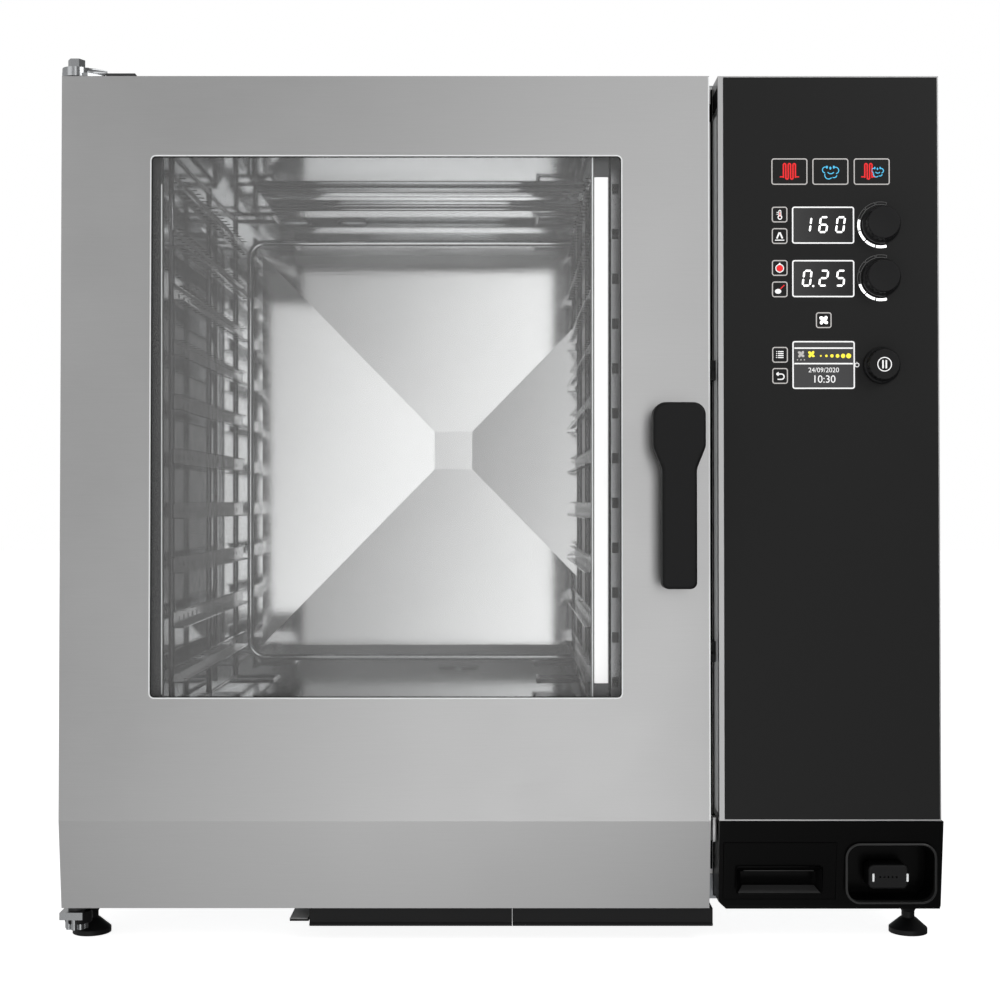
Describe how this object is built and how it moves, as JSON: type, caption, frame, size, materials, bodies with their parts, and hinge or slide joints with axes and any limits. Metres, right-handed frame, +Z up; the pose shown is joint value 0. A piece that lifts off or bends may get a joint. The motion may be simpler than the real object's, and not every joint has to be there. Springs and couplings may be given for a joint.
{
  "type": "combi steamer oven",
  "caption": "Electric combi steamer oven with a glazed hinged door, tray racks, side fans and a control column with knobs, keys and displays.",
  "frame": {"origin": "centre of the whole oven's box, at floor level under the feet", "axes": "+X to the right seen from the front, +Y towards the back, +Z up"},
  "size_m": [1.07, 0.9183, 1.076],
  "materials": {
    "satin_steel": "satin brushed stainless sheet",
    "polished_steel": "bright polished stainless sheet",
    "galvanised": "zinc-coated sheet",
    "wire_steel": "bright stainless rod and strip",
    "mineral_wool": "yellow-grey fibre",
    "seal_rubber": "matte silicone",
    "heater_alloy": "oxidised dark alloy",
    "motor_paint": "dark painted casting",
    "fan_steel": "stainless",
    "clear_glass": "tempered glass",
    "anodised": "grey anodised",
    "lens_plastic": "lit diffusing lens",
    "black_plastic": "fine-grained black moulding",
    "gloss_black": "black front film",
    "bush_plastic": "bearing plastic",
    "board_green": "circuit board",
    "zinc_brass": "plated brass fittings",
    "screw_steel": "stainless screws"
  },
  "bodies": {
    "cabinet": {"base_chassis": "galvanised", "left_side_panel": "satin_steel", "right_side_panel": "satin_steel", "rear_panel": "satin_steel", "top_cover": "satin_steel", "front_frame": "satin_steel", "cavity_liner": "polished_steel", "cavity_back_wall": "polished_steel", "insulation": "mineral_wool", "drain_strainer": "polished_steel", "door_gasket": "seal_rubber", "rack_left": "wire_steel", "rack_right": "wire_steel", "air_deflector": "polished_steel", "heater_coils": "heater_alloy", "fan_motors": "motor_paint", "steam_nozzle": "wire_steel", "column_shell": "satin_steel", "control_fascia": "gloss_black", "display_modules": "gloss_black", "control_board": "board_green", "lower_housing": "black_plastic", "hose_reel": "black_plastic", "feet": "black_plastic", "hinge_brackets": "screw_steel", "latch_catch": "black_plastic", "drip_tray": "black_plastic", "vent_stacks": "satin_steel", "drain_pipe": "satin_steel", "rear_connections": "zinc_brass", "power_terminals": "black_plastic", "panel_screws": "screw_steel"},
    "door": {"door_skin": "satin_steel", "door_inner_frame": "satin_steel", "outer_glass": "clear_glass", "inner_glass": "clear_glass", "glass_hinge_strip": "anodised", "light_housing": "anodised", "light_lens": "lens_plastic", "door_bushes": "bush_plastic"},
    "handle": {"handle_lever": "black_plastic", "latch_spindle": "screw_steel"},
    "temperature_knob": {"knob_temperature": "black_plastic"},
    "time_knob": {"knob_time": "black_plastic"},
    "menu_knob_slider": {"menu_knob_shaft": "screw_steel"},
    "menu_knob": {"knob_menu": "black_plastic"},
    "drawer": {"filter_drawer": "black_plastic"},
    "gun": {"spray_gun": "black_plastic"},
    "lower_fan": {"fan_lower": "fan_steel"},
    "upper_fan": {"fan_upper": "fan_steel"},
    "key_convection": {"button_convection": "gloss_black"},
    "key_steam": {"button_steam": "gloss_black"},
    "key_combi": {"button_combi": "gloss_black"},
    "key_temperature": {"button_temperature": "gloss_black"},
    "key_preheat": {"button_preheat": "gloss_black"},
    "key_timer": {"button_timer": "gloss_black"},
    "key_probe": {"button_probe": "gloss_black"},
    "key_fan": {"button_fan": "gloss_black"},
    "key_menu": {"button_menu": "gloss_black"},
    "key_back": {"button_back": "gloss_black"}
  },
  "joints": [
    {"name": "door_hinge", "type": "hinge", "parent": "cabinet", "child": "door", "pos_m": [-0.518, -0.37584, 0.548], "axis": [0, 0, -1], "range_deg": [0, 110]},
    {"name": "handle_turn", "type": "hinge", "parent": "door", "child": "handle", "pos_m": [0.211, -0.41807, 0.61827], "axis": [0, -0.9999, 0.0166], "range_deg": [-45, 45]},
    {"name": "button_convection_press", "type": "slide", "parent": "cabinet", "child": "key_convection", "axis": [0, 0.9999, -0.0166], "range_m": [0, 0.0006], "stiffness_N_per_m": 400},
    {"name": "button_steam_press", "type": "slide", "parent": "cabinet", "child": "key_steam", "axis": [0, 0.9999, -0.0166], "range_m": [0, 0.0006], "stiffness_N_per_m": 400},
    {"name": "button_combi_press", "type": "slide", "parent": "cabinet", "child": "key_combi", "axis": [0, 0.9999, -0.0166], "range_m": [0, 0.0006], "stiffness_N_per_m": 400},
    {"name": "button_temperature_press", "type": "slide", "parent": "cabinet", "child": "key_temperature", "axis": [0, 0.9999, -0.0166], "range_m": [0, 0.0006], "stiffness_N_per_m": 400},
    {"name": "button_preheat_press", "type": "slide", "parent": "cabinet", "child": "key_preheat", "axis": [0, 0.9999, -0.0166], "range_m": [0, 0.0006], "stiffness_N_per_m": 400},
    {"name": "button_timer_press", "type": "slide", "parent": "cabinet", "child": "key_timer", "axis": [0, 0.9999, -0.0166], "range_m": [0, 0.0006], "stiffness_N_per_m": 400},
    {"name": "button_probe_press", "type": "slide", "parent": "cabinet", "child": "key_probe", "axis": [0, 0.9999, -0.0166], "range_m": [0, 0.0006], "stiffness_N_per_m": 400},
    {"name": "button_fan_press", "type": "slide", "parent": "cabinet", "child": "key_fan", "axis": [0, 0.9999, -0.0166], "range_m": [0, 0.0006], "stiffness_N_per_m": 400},
    {"name": "button_menu_press", "type": "slide", "parent": "cabinet", "child": "key_menu", "axis": [0, 0.9999, -0.0166], "range_m": [0, 0.0006], "stiffness_N_per_m": 400},
    {"name": "button_back_press", "type": "slide", "parent": "cabinet", "child": "key_back", "axis": [0, 0.9999, -0.0166], "range_m": [0, 0.0006], "stiffness_N_per_m": 400},
    {"name": "knob_temperature_turn", "type": "hinge", "parent": "cabinet", "child": "temperature_knob", "pos_m": [0.4614, -0.40386, 0.87167], "axis": [0, -0.9999, 0.0166], "continuous": true},
    {"name": "knob_time_turn", "type": "hinge", "parent": "cabinet", "child": "time_knob", "pos_m": [0.4614, -0.40493, 0.80738], "axis": [0, -0.9999, 0.0166], "continuous": true},
    {"name": "knob_menu_push", "type": "slide", "parent": "cabinet", "child": "menu_knob_slider", "axis": [0, 0.9999, -0.0166], "range_m": [0, 0.001], "stiffness_N_per_m": 500},
    {"name": "knob_menu_turn", "type": "hinge", "parent": "menu_knob_slider", "child": "menu_knob", "pos_m": [0.4614, -0.4067, 0.70079], "axis": [0, -0.9999, 0.0166], "continuous": true},
    {"name": "filter_drawer_slide", "type": "slide", "parent": "cabinet", "child": "drawer", "axis": [0, -1, 0], "range_m": [0, 0.2]},
    {"name": "spray_gun_pull", "type": "slide", "parent": "cabinet", "child": "gun", "axis": [0, -1, 0], "range_m": [0, 0.12]},
    {"name": "fan_lower_spin", "type": "hinge", "parent": "cabinet", "child": "lower_fan", "pos_m": [0.245, -0.00584, 0.425], "axis": [1, 0, 0], "continuous": true},
    {"name": "fan_upper_spin", "type": "hinge", "parent": "cabinet", "child": "upper_fan", "pos_m": [0.245, -0.00584, 0.815], "axis": [1, 0, 0], "continuous": true}
  ]
}
